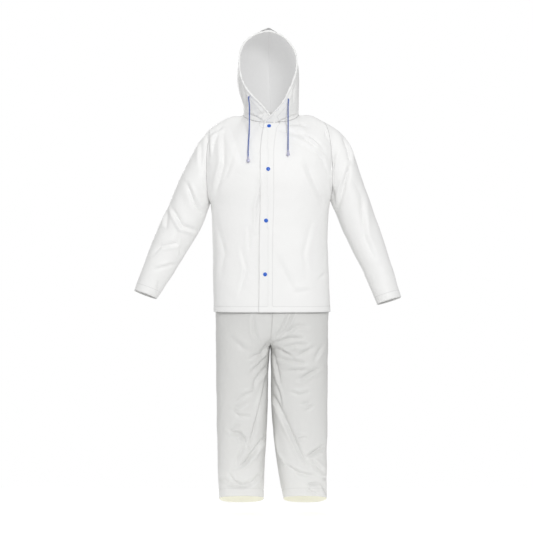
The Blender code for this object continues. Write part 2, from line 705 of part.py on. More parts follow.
def build_wall(name, grid, own, shared, flip, material):
    """One closed piece of cloth, its outer face on the grid."""
    mitre = np.clip((own * shared).sum(-1, keepdims=True), 0.6, 1.0)
    step = pull_back(grid)
    outer = grid + step
    inner = grid - shared * WALL / mitre + step
    rows, columns = grid.shape[:2]
    mesh = bmesh.new()
    outside = [[mesh.verts.new(outer[r, c]) for c in range(columns)] for r in range(rows)]
    inside = [[mesh.verts.new(inner[r, c]) for c in range(columns)] for r in range(rows)]
    for r in range(rows - 1):
        for c in range(columns - 1):
            mesh.faces.new((outside[r][c], outside[r][c + 1], outside[r + 1][c + 1], outside[r + 1][c]))
            mesh.faces.new((inside[r][c], inside[r + 1][c], inside[r + 1][c + 1], inside[r][c + 1]))
    edge = [(0, c) for c in range(columns)] + [(r, columns - 1) for r in range(1, rows)]
    edge += [(rows - 1, c) for c in range(columns - 2, -1, -1)]
    edge += [(r, 0) for r in range(rows - 2, 0, -1)]
    for (r_0, c_0), (r_1, c_1) in zip(edge, edge[1:] + edge[:1]):
        corners = (outside[r_0][c_0], inside[r_0][c_0], inside[r_1][c_1], outside[r_1][c_1])
        mesh.faces.new(corners)
    if flip:
        bmesh.ops.reverse_faces(mesh, faces=mesh.faces)
    data = bpy.data.meshes.new(name)
    mesh.to_mesh(data)
    mesh.free()
    for polygon in data.polygons:
        polygon.use_smooth = True
    return link(name, data, material)


# Snaps, cords and their ends

def turned(name, profile, sides, material, place):
    """A closed solid turned about its own Z axis, then put in place."""
    mesh = bpy.data.meshes.new(name)
    points = [(radius / 1000, 0, height / 1000) for radius, height in profile]
    mesh.from_pydata(points, [(i, i + 1) for i in range(len(points) - 1)], [])
    thing = link(name, mesh, material)
    screw = thing.modifiers.new("turn", "SCREW")
    screw.axis = "Z"
    screw.steps = sides
    screw.render_steps = sides
    screw.use_merge_vertices = True
    screw.merge_threshold = 0.0001
    screw.use_smooth_shade = True
    screw.use_normal_calculate = True
    thing.matrix_world = place
    return thing


def add_snap(name, x, z, cloth):
    """A domed cap on the cloth, square to it."""
    spot, normal, _, _ = cloth.ray_cast(Vector((x, -1, z)), Vector((0, 1, 0)))
    place = Matrix.Translation(spot + normal * SNAP_SEAT)
    place = place @ normal.to_track_quat("Z", "Y").to_matrix().to_4x4()
    return turned(name, SNAP_PROFILE, SNAP_SIDES, "snap_plastic", place)


def add_cord(name, points):
    spans = np.linalg.norm(np.diff(points, axis=0), axis=1)
    knots = np.concatenate([[0], np.cumsum(spans)])
    count = int(round(knots[-1] / CORD_STEP))
    smooth = curve_through(points, knots, np.linspace(0, knots[-1], count + 1))
    curve = bpy.data.curves.new(name, "CURVE")
    curve.dimensions = "3D"
    curve.bevel_depth = CORD_RADIUS
    curve.bevel_resolution = 2
    curve.use_fill_caps = True
    spline = curve.splines.new("POLY")
    spline.points.add(len(smooth) - 1)
    for target, point in zip(spline.points, smooth):
        target.co = (*point, 1.0)
        target.radius = 1.0
    spline.use_smooth = True
    return link(name, curve, "cord_blue")


def build():
    clear_scene()
    collection = bpy.data.collections.get("rain_suit") or bpy.data.collections.new("rain_suit")
    if collection.name not in bpy.context.scene.collection.children:
        bpy.context.scene.collection.children.link(collection)

    grids = jacket_body()
    for side in ("right", "left"):
        grids["sleeve_" + side] = sleeve_grid(side)
        grids["hood_" + side] = hood_grid(side, grids["front_" + side], grids["back"])
    legs = {side: leg_grid(side) for side in ("right", "left")}
    grids["leg_right"], grids["leg_left"] = legs["right"], legs["left"]
    grids["waistband"] = waistband_grid(legs)

    own, shared = shared_normals(grids, FLIPPED)
    for name, grid in grids.items():
        grid -= shared[name] * fold_depth(grid, shared[name])[..., None]
        if name in ("front_left", "hood_left"):
            grid += shared[name] * LAP_LIFT * lap_weight(grid)[..., None]
    own, shared = shared_normals(grids, FLIPPED)

    cloth = {}
    for name, grid in grids.items():
        material = "trousers_vinyl" if name in TROUSER_PIECES else "jacket_vinyl"
        cloth[name] = build_wall(name, grid, own[name], shared[name], FLIPPED[name], material)

    front = BVHTree.FromObject(cloth["front_left"], bpy.context.evaluated_depsgraph_get())
    for name, x, z in SNAPS:
        add_snap(name, x, z, front)
    for side in ("right", "left"):
        points = np.array(CORDS[side])
        add_cord("cord_" + side, points)
        place = Matrix.Translation(Vector(points[-1]) - Vector((0, 0, CORD_END_GAP)))
        turned("cord_end_" + side, CORD_END_PROFILE, CORD_END_SIDES, "clear_plastic", place)


build()
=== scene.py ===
# %% [markdown]
# # A hooded rain suit, filled out as if someone wore it
# The suit is a snap-front jacket with a drawstring hood over straight, elasticated trousers.
# It is welded from thin, slightly milky vinyl sheet, which is crisp: it hangs in smooth tubes
# and bends in short, sharp creases where the elbows and knees have folded it.
# The form of every cloth piece comes from the CAD frame. Here the sheet gets its fine creases,
# turned hems, welds, true thickness and its material.

import math

import bmesh
import bpy
import numpy as np
from mathutils import Matrix, Vector, noise
from mathutils.kdtree import KDTree


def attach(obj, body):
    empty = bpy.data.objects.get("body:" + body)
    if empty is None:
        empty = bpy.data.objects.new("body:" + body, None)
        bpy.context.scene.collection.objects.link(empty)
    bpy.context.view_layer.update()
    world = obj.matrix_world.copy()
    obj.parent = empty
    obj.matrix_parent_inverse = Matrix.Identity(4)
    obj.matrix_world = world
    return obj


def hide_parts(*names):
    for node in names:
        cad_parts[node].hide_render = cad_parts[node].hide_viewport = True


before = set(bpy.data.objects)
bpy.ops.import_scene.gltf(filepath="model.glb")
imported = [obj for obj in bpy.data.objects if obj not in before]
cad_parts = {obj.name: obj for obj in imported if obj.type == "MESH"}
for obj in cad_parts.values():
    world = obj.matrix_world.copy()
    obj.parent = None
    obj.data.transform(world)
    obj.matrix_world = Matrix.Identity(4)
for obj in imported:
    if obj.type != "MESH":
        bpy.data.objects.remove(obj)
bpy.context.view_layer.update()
print("CAD nodes:", len(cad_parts))

# %% [markdown]
# ## The sheet
# A CAD cloth piece is a closed wall, with an outside, an inside and a narrow edge all round.
# The outside alone is the sheet's form, so the edge and the inside are taken away. The panels
# of one garment are then merged along their seams, because welded vinyl runs on from panel to
# panel with no gap, and a creased sheet has to keep the same form on both sides of a weld.

# %% Take the outside of each panel
PANELS = {
    "jacket": (
        "front_left",
        "front_right",
        "back",
        "sleeve_left",
        "sleeve_right",
        "hood_left",
        "hood_right",
    ),
    "trousers": ("leg_left", "leg_right", "waistband"),
}
EDGE_WIDTH = 0.00255
SEAM_REACH = 0.0013


def islands(mesh):
    """The connected groups of faces, largest area first."""
    seen = set()
    groups = []
    for start in mesh.faces:
        if start in seen:
            continue
        seen.add(start)
        waiting, group = [start], []
        while waiting:
            face = waiting.pop()
            group.append(face)
            for edge in face.edges:
                for near in edge.link_faces:
                    if near not in seen:
                        seen.add(near)
                        waiting.append(near)
        groups.append(group)
    return sorted(groups, key=lambda g: -sum(face.calc_area() for face in g))


def outside_of(node, number):
    """A mesh of one panel's outside, its faces marked with the panel's number."""
    mesh = bmesh.new()
    mesh.from_mesh(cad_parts[node].data)
    bmesh.ops.remove_doubles(mesh, verts=mesh.verts, dist=0.0001)
    edge = [f for f in mesh.faces if min(e.calc_length() for e in f.edges) < EDGE_WIDTH]
    bmesh.ops.delete(mesh, geom=edge, context="FACES")
    inside = [face for group in islands(mesh)[1:] for face in group]
    bmesh.ops.delete(mesh, geom=inside, context="FACES")
    bmesh.ops.join_triangles(
        mesh,
        faces=mesh.faces,
        angle_face_threshold=math.pi,
        angle_shape_threshold=math.pi,
        topology_influence=1.0,
    )
    panel = mesh.faces.layers.int.new("panel")
    for face in mesh.faces:
        face[panel] = number
        face.smooth = True
        face.material_index = 0
    data = bpy.data.meshes.new(node + "_outside")
    mesh.to_mesh(data)
    mesh.free()
    return data


def merged_sheet(garment):
    """One sheet for a garment, merged at the seams and smoothed to fine faces."""
    mesh = bmesh.new()
    mesh.faces.layers.int.new("panel")
    for number, node in enumerate(PANELS[garment]):
        data = outside_of(node, number)
        mesh.from_mesh(data)
        bpy.data.meshes.remove(data)
    bmesh.ops.remove_doubles(mesh, verts=mesh.verts, dist=SEAM_REACH)
    panel = mesh.faces.layers.int["panel"]
    crease = mesh.edges.layers.float.new("crease_edge")
    for edge in mesh.edges:
        sides = {face[panel] for face in edge.link_faces}
        if len(sides) == 2:
            edge[crease] = 0.35
    data = bpy.data.meshes.new(garment)
    mesh.to_mesh(data)
    mesh.free()
    sheet = bpy.data.objects.new(garment, data)
    bpy.context.scene.collection.objects.link(sheet)
    smooth = sheet.modifiers.new("fine", "SUBSURF")
    smooth.levels = 3
    smooth.render_levels = 3
    smooth.boundary_smooth = "PRESERVE_CORNERS"
    bpy.ops.object.select_all(action="DESELECT")
    sheet.select_set(True)
    bpy.context.view_layer.objects.active = sheet
    bpy.ops.object.modifier_apply(modifier="fine")
    return sheet


sheets = {garment: merged_sheet(garment) for garment in PANELS}
for garment, sheet in sheets.items():
    print(garment, "has", len(sheet.data.polygons), "faces")

# %% [markdown]
# ## How far each point is from a weld and from a free edge
# Welds and turned hems follow the panels' edges, so both are drawn from these distances. They
# are kept as attributes of the mesh, and the material reads them too.

# %% Measure the distances
HEM_WIDTHS = {"jacket_hem": 22, "cuff": 28, "hood_edge": 20, "lap": 50, "leg_hem": 30}


LAP_WELD_FROM_X = -0.012


def arrays(sheet):
    data = sheet.data
    points = np.empty(len(data.vertices) * 3)
    data.vertices.foreach_get("co", points)
    normals = np.empty(len(data.vertices) * 3)
    data.vertex_normals.foreach_get("vector", normals)
    return points.reshape(-1, 3), normals.reshape(-1, 3)


def near(points, targets, reach):
    """Distance in millimetres of each point to the nearest target, no more than reach."""
    tree = KDTree(len(targets))
    for number, target in enumerate(targets):
        tree.insert(target, number)
    tree.balance()
    low = targets.min(axis=0) - reach / 1000
    high = targets.max(axis=0) + reach / 1000
    out = np.full(len(points), float(reach))
    for number in np.flatnonzero(((points > low) & (points < high)).all(axis=1)):
        out[number] = min(reach, tree.find(points[number])[2] * 1000)
    return out


def edge_groups(sheet):
    """The points on welds and on free edges, the free ones by the place they are in."""
    mesh = bmesh.new()
    mesh.from_mesh(sheet.data)
    panel = mesh.faces.layers.int["panel"]
    groups = {"weld": []}
    for edge in mesh.edges:
        middle = (edge.verts[0].co + edge.verts[1].co) / 2
        along = [edge.verts[0].co.lerp(edge.verts[1].co, step / 3) for step in range(3)]
        if len(edge.link_faces) == 1:
            groups.setdefault(edge_place(middle), []).extend(along)
        elif len({face[panel] for face in edge.link_faces}) == 2:
            groups["weld"].extend(along)
    mesh.free()
    return {name: np.array(group) for name, group in groups.items()}


def edge_place(middle):
    if middle.z < -1.3:
        return "leg_hem"
    if abs(middle.x) > 0.36:
        return "cuff"
    if middle.z < -0.735:
        return "jacket_hem"
    if middle.z < -0.034:
        if middle.y > -0.08:
            return "waist"
        return "lap" if middle.x < -0.02 else "under_lap"
    return "hood_edge"


def store(sheet, name, values):
    layer = sheet.data.attributes.new(name, "FLOAT", "POINT")
    layer.data.foreach_set("value", values.astype(np.float32))


hems = {}
for garment, sheet in sheets.items():
    points, _ = arrays(sheet)
    groups = edge_groups(sheet)
    store(sheet, "weld_mm", near(points, groups["weld"], 12))
    inside_hem = np.full(len(points), 60.0)
    for place, width in HEM_WIDTHS.items():
        if place in groups:
            away = near(points, groups[place], 60)
            if place == "lap":
                away[points[:, 0] < LAP_WELD_FROM_X] = 60
            inside_hem = np.minimum(inside_hem, away - width)
    store(sheet, "hem_mm", inside_hem)
    print(garment, {name: len(group) for name, group in groups.items()})

# %% [markdown]
# ## Creases
# Each crease is a run across the sheet, in millimetres in the front view: x to the wearer's
# left, z up from the neck. A trough is pushed in and the sheet beside it swells a little, as
# it can't stretch. Creases fade at both ends, and no two have the same length or depth.

# %% List the creases
FRONT, BACK = -1, 1
JACKET_CREASES = (
    # face, depth, half width, run
    (FRONT, -3.0, 10, ((-179, -68), (-176, -185), (-208, -309))),
    (FRONT, 2.0, 8, ((-225, -87), (-171, -51))),
    (FRONT, -1.6, 14, ((-155, -45), (-106, -185))),
    (FRONT, 2.2, 8, ((-43, -219), (-41, -260), (-60, -347), (-60, -445))),
    (FRONT, -1.2, 7, ((-82, -423), (-82, -506))),
    (FRONT, -3.0, 11, ((24, -57), (111, -77), (208, -158))),
    (FRONT, 2.0, 9, ((68, -83), (132, -109), (208, -164))),
    (FRONT, 2.2, 7, ((132, -83), (181, -126))),
    (FRONT, -2.0, 8, ((57, -40), (106, -34), (132, -45))),
    (FRONT, -2.5, 7, ((203, -51), (214, -99))),
    (FRONT, -2.6, 14, ((127, -185), (165, -272), (197, -336))),
    (FRONT, -1.6, 14, ((24, -537), (84, -662))),
    (FRONT, -1.2, 10, ((143, -657), (84, -662))),
    (FRONT, -1.6, 6, ((175, -613), (203, -594))),
    (FRONT, -1.8, 7, ((90, -58), (150, -88), (204, -138))),
    (FRONT, -1.6, 7, ((152, -122), (190, -170), (212, -228))),
    (FRONT, -1.5, 8, ((-188, -44), (-212, -110), (-220, -168))),
    (FRONT, -1.2, 9, ((-138, -158), (-168, -236), (-200, -262))),
    (FRONT, -1.4, 11, ((-198, -420), (-172, -520), (-188, -604))),
    (FRONT, -1.2, 11, ((150, -400), (120, -520), (132, -600))),
    (FRONT, -1.3, 8, ((-110, -500), (-92, -580), (-120, -680))),
    (FRONT, -1.8, 5, ((-104, 12), (-90, 1), (-70, -4), (-25, -30))),
    (FRONT, -1.8, 5, ((104, 4), (67, -13), (31, -30), (9, -42))),
    (FRONT, -1.6, 5, ((-53, -9), (-11, 11))),
    (FRONT, -1.6, 5, ((86, 109), (82, 38))),
    (FRONT, -1.2, 6, ((-98, 92), (-92, 30))),
    (FRONT, -4.5, 9, ((-372, -349), (-330, -418), (-276, -435))),
    (FRONT, -3.2, 9, ((-315, -257), (-283, -335), (-257, -369))),
    (FRONT, -2.4, 9, ((-389, -349), (-394, -423), (-421, -433))),
    (FRONT, -2.6, 8, ((-350, -438), (-352, -482), (-411, -492), (-443, -526))),
    (FRONT, -1.6, 6, ((-340, -487), (-340, -531))),
    (FRONT, -2.2, 8, ((-438, -580), (-360, -560))),
    (FRONT, -1.8, 6, ((-423, -623), (-421, -664))),
    (FRONT, -2.4, 8, ((-238, -70), (-232, -168))),
    (FRONT, -2.0, 8, ((-262, -104), (-262, -192))),
    (FRONT, -3.6, 8, ((268, -78), (288, -128), (295, -178))),
    (FRONT, -3.6, 9, ((293, -194), (273, -259), (248, -352))),
    (FRONT, -2.2, 8, ((240, -138), (223, -219))),
    (FRONT, -2.6, 9, ((223, -259), (243, -350))),
    (FRONT, -2.2, 12, ((313, -259), (338, -305), (348, -455), (384, -536))),
    (BACK, -2.8, 12, ((-150, -60), (-96, -190))),
    (BACK, -2.4, 12, ((158, -70), (120, -210))),
    (BACK, -3.0, 14, ((-190, -330), (-120, -270), (-60, -262))),
    (BACK, -2.6, 14, ((185, -318), (130, -262), (70, -250))),
    (BACK, -2.0, 12, ((-60, -420), (-90, -560))),
    (BACK, -2.2, 14, ((70, -400), (84, -520), (60, -640))),
    (BACK, -3.8, 9, ((-395, -420), (-345, -400), (-290, -410))),
    (BACK, -3.4, 9, ((-410, -470), (-360, -455), (-320, -470))),
    (BACK, -2.6, 9, ((-300, -250), (-270, -340))),
    (BACK, -3.8, 9, ((285, -405), (335, -395), (385, -425))),
    (BACK, -3.2, 9, ((300, -460), (350, -455), (402, -485))),
    (BACK, -2.6, 9, ((290, -240), (255, -330))),
)
TROUSER_CREASES = (
    # face, depth, half width, run
    (FRONT, -2.5, 8, ((39, -823), (100, -787), (139, -791))),
    (FRONT, -3.5, 8, ((7, -855), (62, -832), (117, -832))),
    (FRONT, -2.5, 8, ((39, -871), (91, -855), (139, -858))),
    (FRONT, -2.4, 7, ((17, -871), (52, -887), (78, -903))),
    (FRONT, -3.0, 8, ((20, -906), (68, -916), (126, -924))),
    (FRONT, -3.0, 8, ((42, -955), (100, -951), (139, -951))),
    (FRONT, -4.0, 8, ((100, -987), (142, -965), (184, -943))),
    (FRONT, -2.5, 8, ((100, -898), (162, -863))),
    (FRONT, -2.5, 8, ((158, -919), (194, -858))),
    (FRONT, -2.5, 7, ((71, -1032), (104, -1042), (139, -1032))),
    (FRONT, -2.0, 7, ((110, -1077), (149, -1071))),
    (FRONT, -2.2, 7, ((126, -1103), (162, -1080))),
    (FRONT, -3.0, 6, ((2, -881), (20, -938), (33, -996))),
    (FRONT, -2.5, 6, ((4, -971), (29, -1035), (39, -1083))),
    (FRONT, -2.0, 6, ((0, -1038), (36, -1100))),
    (FRONT, -2.8, 7, ((-6, -845), (-28, -883), (-42, -906))),
    (FRONT, -3.0, 8, ((-6, -894), (-45, -936), (-77, -961))),
    (FRONT, -3.0, 8, ((-12, -936), (-57, -992), (-64, -1023))),
    (FRONT, -2.5, 8, ((-64, -1032), (-99, -1045), (-131, -1071))),
    (FRONT, -2.0, 8, ((-89, -1074), (-145, -1098))),
    (FRONT, -2.5, 8, ((-12, -971), (-45, -1109))),
    (FRONT, -2.0, 7, ((-32, -887), (-83, -909))),
    (FRONT, -2.0, 8, ((-67, -751), (-61, -815), (-38, -855))),
    (FRONT, -2.4, 5, ((84, -738), (60, -790), (9, -852))),
    (FRONT, -2.0, 5, ((66, -738), (42, -790), (5, -845))),
    (FRONT, -1.5, 12, ((-154, -829), (-87, -881))),
    (FRONT, -3.5, 9, ((-27, -1057), (-57, -1158), (-80, -1234))),
    (FRONT, -4.5, 8, ((-15, -1211), (-32, -1217), (-57, -1253), (-96, -1298), (-128, -1318))),
    (FRONT, -4.0, 8, ((-160, -1172), (-145, -1185), (-115, -1188), (-89, -1228))),
    (FRONT, -2.5, 8, ((-145, -1101), (-118, -1121), (-77, -1124))),
    (FRONT, -2.0, 7, ((-157, -1172), (-109, -1149))),
    (FRONT, -2.5, 8, ((-99, -1230), (-125, -1285), (-130, -1311))),
    (FRONT, -3.5, 10, ((-196, -1352), (-154, -1378), (-109, -1385), (-77, -1378), (-28, -1343))),
    (FRONT, -2.0, 7, ((-154, -1340), (-141, -1365), (-118, -1377))),
    (FRONT, -4.0, 9, ((11, -1053), (39, -1111), (72, -1181), (104, -1253), (139, -1318))),
    (FRONT, -2.5, 7, ((94, -1214), (113, -1203), (136, -1203))),
    (FRONT, -4.5, 8, ((132, -1278), (149, -1268), (181, -1249), (200, -1233))),
    (FRONT, -2.5, 9, ((136, -1278), (196, -1336))),
    (FRONT, 2.5, 8, ((17, -1181), (29, -1262), (52, -1307))),
    (FRONT, -3.0, 8, ((52, -1307), (104, -1336), (149, -1347), (171, -1349))),
    (FRONT, -3.0, 7, ((139, -1378), (181, -1375))),
    (FRONT, -2.5, 7, ((132, -1389), (142, -1404), (174, -1417))),
    (FRONT, -2.0, 7, ((187, -1372), (213, -1429))),
    (FRONT, -2.0, 6, ((194, -1362), (210, -1362))),
    (BACK, -4.0, 9, ((-20, -880), (-70, -905), (-130, -900))),
    (BACK, -3.4, 9, ((22, -884), (80, -912), (142, -902))),
    (BACK, -3.0, 9, ((-28, -930), (-90, -968), (-150, -960))),
    (BACK, -3.2, 9, ((20, -940), (66, -985), (120, -1000))),
    (BACK, -3.6, 9, ((-190, -1140), (-130, -1165), (-60, -1150))),
    (BACK, -3.4, 9, ((-180, -1205), (-110, -1222), (-40, -1200))),
    (BACK, -2.8, 9, ((-150, -1280), (-90, -1262))),
    (BACK, -3.6, 9, ((40, -1150), (110, -1172), (190, -1150))),
    (BACK, -3.2, 9, ((52, -1215), (120, -1228), (196, -1202))),
    (BACK, -2.6, 9, ((90, -1290), (160, -1300))),
    (BACK, -2.2, 12, ((-110, -560), (-90, -700), (-60, -800))),
    (BACK, -2.2, 12, ((96, -580), (80, -700), (52, -810))),
)
print("creases:", len(JACKET_CREASES), "and", len(TROUSER_CREASES))

# %% Press the creases in


def along_run(x, z, run):
    """Distance from a run in millimetres, and the share of its length at the nearest point."""
    corners = np.array(run, float)
    lengths = np.linalg.norm(np.diff(corners, axis=0), axis=1)
    before = np.concatenate([[0], np.cumsum(lengths)])
    best = np.full(len(x), 1e9)
    side = np.zeros(len(x))
    share = np.zeros(len(x))
    for start, end, length, done in zip(corners, corners[1:], lengths, before):
        step = (end - start) / length
        t = np.clip((x - start[0]) * step[0] + (z - start[1]) * step[1], 0, length)
        off_x = x - start[0] - t * step[0]
        off_z = z - start[1] - t * step[1]
        away = np.hypot(off_x, off_z)
        closer = away < best
        best = np.where(closer, away, best)
        side = np.where(closer, np.sign(step[0] * off_z - step[1] * off_x), side)
        share = np.where(closer, (done + t) / before[-1], share)
    return best * side, share


def press(sheet, creases, scale):
    points, normals = arrays(sheet)
    x, z = points[:, 0] * 1000, points[:, 2] * 1000
    move = np.zeros(len(points))
    for number, (face, depth, half_width, run) in enumerate(creases):
        half_width = half_width * CREASE_WIDTH
        low = np.min(run, axis=0) - 3.5 * half_width
        high = np.max(run, axis=0) + 3.5 * half_width
        facing = normals[:, 1] * face > 0.1
        here = facing & (x > low[0]) & (x < high[0]) & (z > low[1]) & (z < high[1])
        off, share = along_run(x[here], z[here], run)
        swell_side = 1 if number % 2 else -1
        trough = np.exp(-(np.abs(off / half_width) ** 1.5))
        swell = np.exp(-(((off - swell_side * 1.7 * half_width) / (1.1 * half_width)) ** 2))
        ends = np.clip(np.sin(np.pi * np.clip(share, 0.02, 0.98)), 0, 1) ** 0.5
        turned = np.clip((normals[here, 1] * face - 0.1) / 0.3, 0, 1)
        move[here] += scale * depth * (trough - 0.55 * swell) * ends * turned
    return points, normals, move


def unevenness(points, size, amount):
    """Slow waves of the sheet, the same in every run."""
    scaled = points / size
    return amount * np.array([noise.noise(Vector(point)) for point in scaled])


CREASE_SCALE = {"jacket": 2.7, "trousers": 3.0}
CREASE_WIDTH = 0.85
PEAK_FROM_Z = 0.309
HEM_SAG = 0.016
HEM_SAG_TOP = -1.28


def ramp(values, start, end):
    """0 at the start, 1 at the end, smooth between them."""
    t = np.clip((values - start) / (end - start), 0, 1)
    return t * t * (3 - 2 * t)


for garment, creases in (("jacket", JACKET_CREASES), ("trousers", TROUSER_CREASES)):
    sheet = sheets[garment]
    points, normals, move = press(sheet, creases, CREASE_SCALE[garment])
    move += unevenness(points, 0.11, 2.2) + unevenness(points, 0.045, 1.1)
    move += unevenness(points, 0.018, 0.5 if garment == "trousers" else 0.25)
    hem = np.empty(len(points))
    sheet.data.attributes["hem_mm"].data.foreach_get("value", hem)
    move += 0.5 * np.clip(-hem / 1.5, 0, 1)
    points = points + normals * move[:, None] / 1000
    if garment == "trousers":
        lower = ramp(-points[:, 2], -HEM_SAG_TOP, 1.44)
        points[:, 2] -= HEM_SAG * lower * ramp(points[:, 1], -0.03, 0.09)
    sheet.data.vertices.foreach_set("co", points.ravel())
    sheet.data.update()
    if garment == "jacket":
        # A mask for painted shade on the front of the hood's peak.
        forward = ramp(-normals[:, 1], 0.02, 0.15)
        store(sheet, "peak_shade", forward * ramp(points[:, 2], PEAK_FROM_Z - 0.008, PEAK_FROM_Z))
    print(garment, "moved from", round(move.min(), 1), "to", round(move.max(), 1), "mm")

# %% [markdown]
# ## Pieces and thickness
# The sheet is cut into the pieces that are welded together, each standing in for its CAD wall.
# The real sheet is about 0.2 mm thick and doubled at its hems. It is given 0.8 mm here, so
# that its edges catch the light as a turned hem's do. Its inner side gets a second material,
# because the inside of such a sheet is duller than the outside. Inside the hood that
# material is painted grey for shade and glows as painted light.

# %% Cut out the pieces and thicken them
THICKNESS = 0.0008
PIECES = {
    # piece: garment, CAD walls it stands in for
    "jacket_fronts": ("jacket", ("front_left", "front_right")),
    "jacket_back": ("jacket", ("back",)),
    "jacket_sleeve_left": ("jacket", ("sleeve_left",)),
    "jacket_sleeve_right": ("jacket", ("sleeve_right",)),
    "jacket_hood": ("jacket", ("hood_left", "hood_right")),
    "trouser_leg_left": ("trousers", ("leg_left",)),
    "trouser_leg_right": ("trousers", ("leg_right",)),
    "trouser_waistband": ("trousers", ("waistband",)),
}


def new_material(name):
    material = bpy.data.materials.new(name)
    material.use_nodes = True
    return material


MATERIALS = {
    "jacket": new_material("vinyl sheet, white, calendered matt"),
    "casing": new_material("vinyl sheet, white, turned over and welded"),
    "jacket_inside": new_material("vinyl sheet, white, inner side"),
    # The hood's inner side is painted grey for shade and given a painted glow.
    "hood_inside": new_material("vinyl sheet, grey inner side of the hood"),
    "trousers": new_material("vinyl sheet, pale grey, calendered matt"),
    "trousers_inside": new_material("vinyl sheet, cream inner side"),
}


def apply_modifier(made, name):
    bpy.ops.object.select_all(action="DESELECT")
    made.select_set(True)
    bpy.context.view_layer.objects.active = made
    bpy.ops.object.modifier_apply(modifier=name)


def cut_out(piece, garment, nodes):
    """The faces of some panels of a garment as a piece of their own, made thick."""
    numbers = {PANELS[garment].index(node) for node in nodes}
    mesh = bmesh.new()
    mesh.from_mesh(sheets[garment].data)
    panel = mesh.faces.layers.int["panel"]
    others = [face for face in mesh.faces if face[panel] not in numbers]
    bmesh.ops.delete(mesh, geom=others, context="FACES")
    data = bpy.data.meshes.new(piece)
    mesh.to_mesh(data)
    mesh.free()
    data.materials.append(MATERIALS[garment])
    data.materials.append(MATERIALS["hood_inside" if "hood" in piece else garment + "_inside"])
    made = bpy.data.objects.new(piece, data)
    bpy.context.scene.collection.objects.link(made)
    thick = made.modifiers.new("thickness", "SOLIDIFY")
    thick.thickness = THICKNESS
    thick.offset = -1
    thick.use_even_offset = False
    thick.material_offset = 1
    apply_modifier(made, "thickness")
    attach(made, "root")
    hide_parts(*nodes)
    return made


cloth = {piece: cut_out(piece, *parts) for piece, parts in PIECES.items()}

# %% [markdown]
# ## The hood's casing
# The face opening's edge is turned over the drawstring and welded, which makes a soft round rim.
# The string gathers it a little, so it is puckered. It is a tube swept along the edge itself,
# whose thickness varies from pucker to pucker.

# %% Sweep the casing along the edge
CASING_RADIUS = 0.0037
PUCKER = 0.8
PUCKER_LENGTH = 0.007


def hood_edge(sheet):
    """The free edge of the hood, in order from one end to the other."""
    mesh = bmesh.new()
    mesh.from_mesh(sheet.data)
    rim = {}
    for edge in mesh.edges:
        middle = (edge.verts[0].co + edge.verts[1].co) / 2
        if len(edge.link_faces) == 1 and edge_place(middle) == "hood_edge":
            for one, other in (edge.verts, reversed(edge.verts)):
                rim.setdefault(one.index, []).append(other.index)
    places = {vertex.index: vertex.co.copy() for vertex in mesh.verts if vertex.index in rim}
    mesh.free()
    at = min((index for index in rim if len(rim[index]) == 1), key=lambda i: places[i].x)
    order, last = [at], None
    while True:
        following = [index for index in rim[at] if index != last]
        if not following or following[0] in order[:1]:
            break
        last, at = at, following[0]
        order.append(at)
    return [places[index] for index in order]


edge_points = hood_edge(sheets["jacket"])
curve = bpy.data.curves.new("jacket_hood_casing", "CURVE")
curve.dimensions = "3D"
curve.bevel_depth = CASING_RADIUS
curve.bevel_resolution = 3
curve.use_fill_caps = True
spline = curve.splines.new("POLY")
spline.points.add(len(edge_points) - 1)
for point, place in zip(spline.points, edge_points):
    point.co = (*place, 1)
    point.radius = 1 + PUCKER * noise.noise(place / PUCKER_LENGTH)
spline.use_smooth = True
curve.materials.append(MATERIALS["casing"])
casing = bpy.data.objects.new("jacket_hood_casing", curve)
bpy.context.scene.collection.objects.link(casing)
bpy.ops.object.select_all(action="DESELECT")
casing.select_set(True)
bpy.context.view_layer.objects.active = casing
bpy.ops.object.convert(target="MESH")
casing = bpy.context.object
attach(casing, "root")
print("casing runs through", len(edge_points), "points")

for sheet in sheets.values():
    bpy.data.objects.remove(sheet)
for piece, made in cloth.items():
    print(piece, len(made.data.polygons), "faces")

# %% [markdown]
# ## Vinyl
# Vinyl sheet for rainwear is calendered: pressed between rollers into a smooth, slightly matt
# film. It looks milky, with a weak, broad highlight along each fold. The colours are sRGB
# values. Welds show as thin lines, a little darker and pressed in, and a second line runs
# 6 mm off each, where the two layers end. The turned hems end in the same kind of line.

# %% Mix the vinyl
def linear(hex_colour):
    parts = [int(hex_colour[i : i + 2], 16) / 255 for i in (0, 2, 4)]
    return [c / 12.92 if c <= 0.04045 else ((c + 0.055) / 1.055) ** 2.4 for c in parts] + [1.0]


def add_node(material, kind, links=None, **settings):
    """Add a node, set its properties and inputs, and link its inputs from other outputs."""
    tree = material.node_tree
    node = tree.nodes.new(kind)
    for name, value in settings.items():
        if hasattr(node, name):
            setattr(node, name, value)
        else:
            node.inputs[name.replace("_", " ")].default_value = value
    for name, output in (links or {}).items():
        tree.links.new(output, node.inputs[name])
    return node


def shader_of(material):
    return material.node_tree.nodes["Principled BSDF"]


def line_at(material, attribute, place, half_width, strength):
    """A soft line, in millimetres, where an attribute has a value."""
    value = add_node(material, "ShaderNodeAttribute", attribute_name=attribute).outputs["Fac"]
    off = add_node(material, "ShaderNodeMath", {0: value}, operation="SUBTRACT")
    off.inputs[1].default_value = place
    away = add_node(material, "ShaderNodeMath", {0: off.outputs[0]}, operation="ABSOLUTE")
    line = add_node(material, "ShaderNodeMapRange", {"Value": away.outputs[0]})
    line.interpolation_type = "SMOOTHSTEP"
    line.inputs["From Max"].default_value = half_width
    line.inputs["To Min"].default_value = strength
    line.inputs["To Max"].default_value = 0.0
    return line.outputs[0]


def add_up(material, values):
    total = values[0]
    for value in values[1:]:
        total = add_node(
            material, "ShaderNodeMath", {0: total, 1: value}, operation="ADD"
        ).outputs[0]
    return total


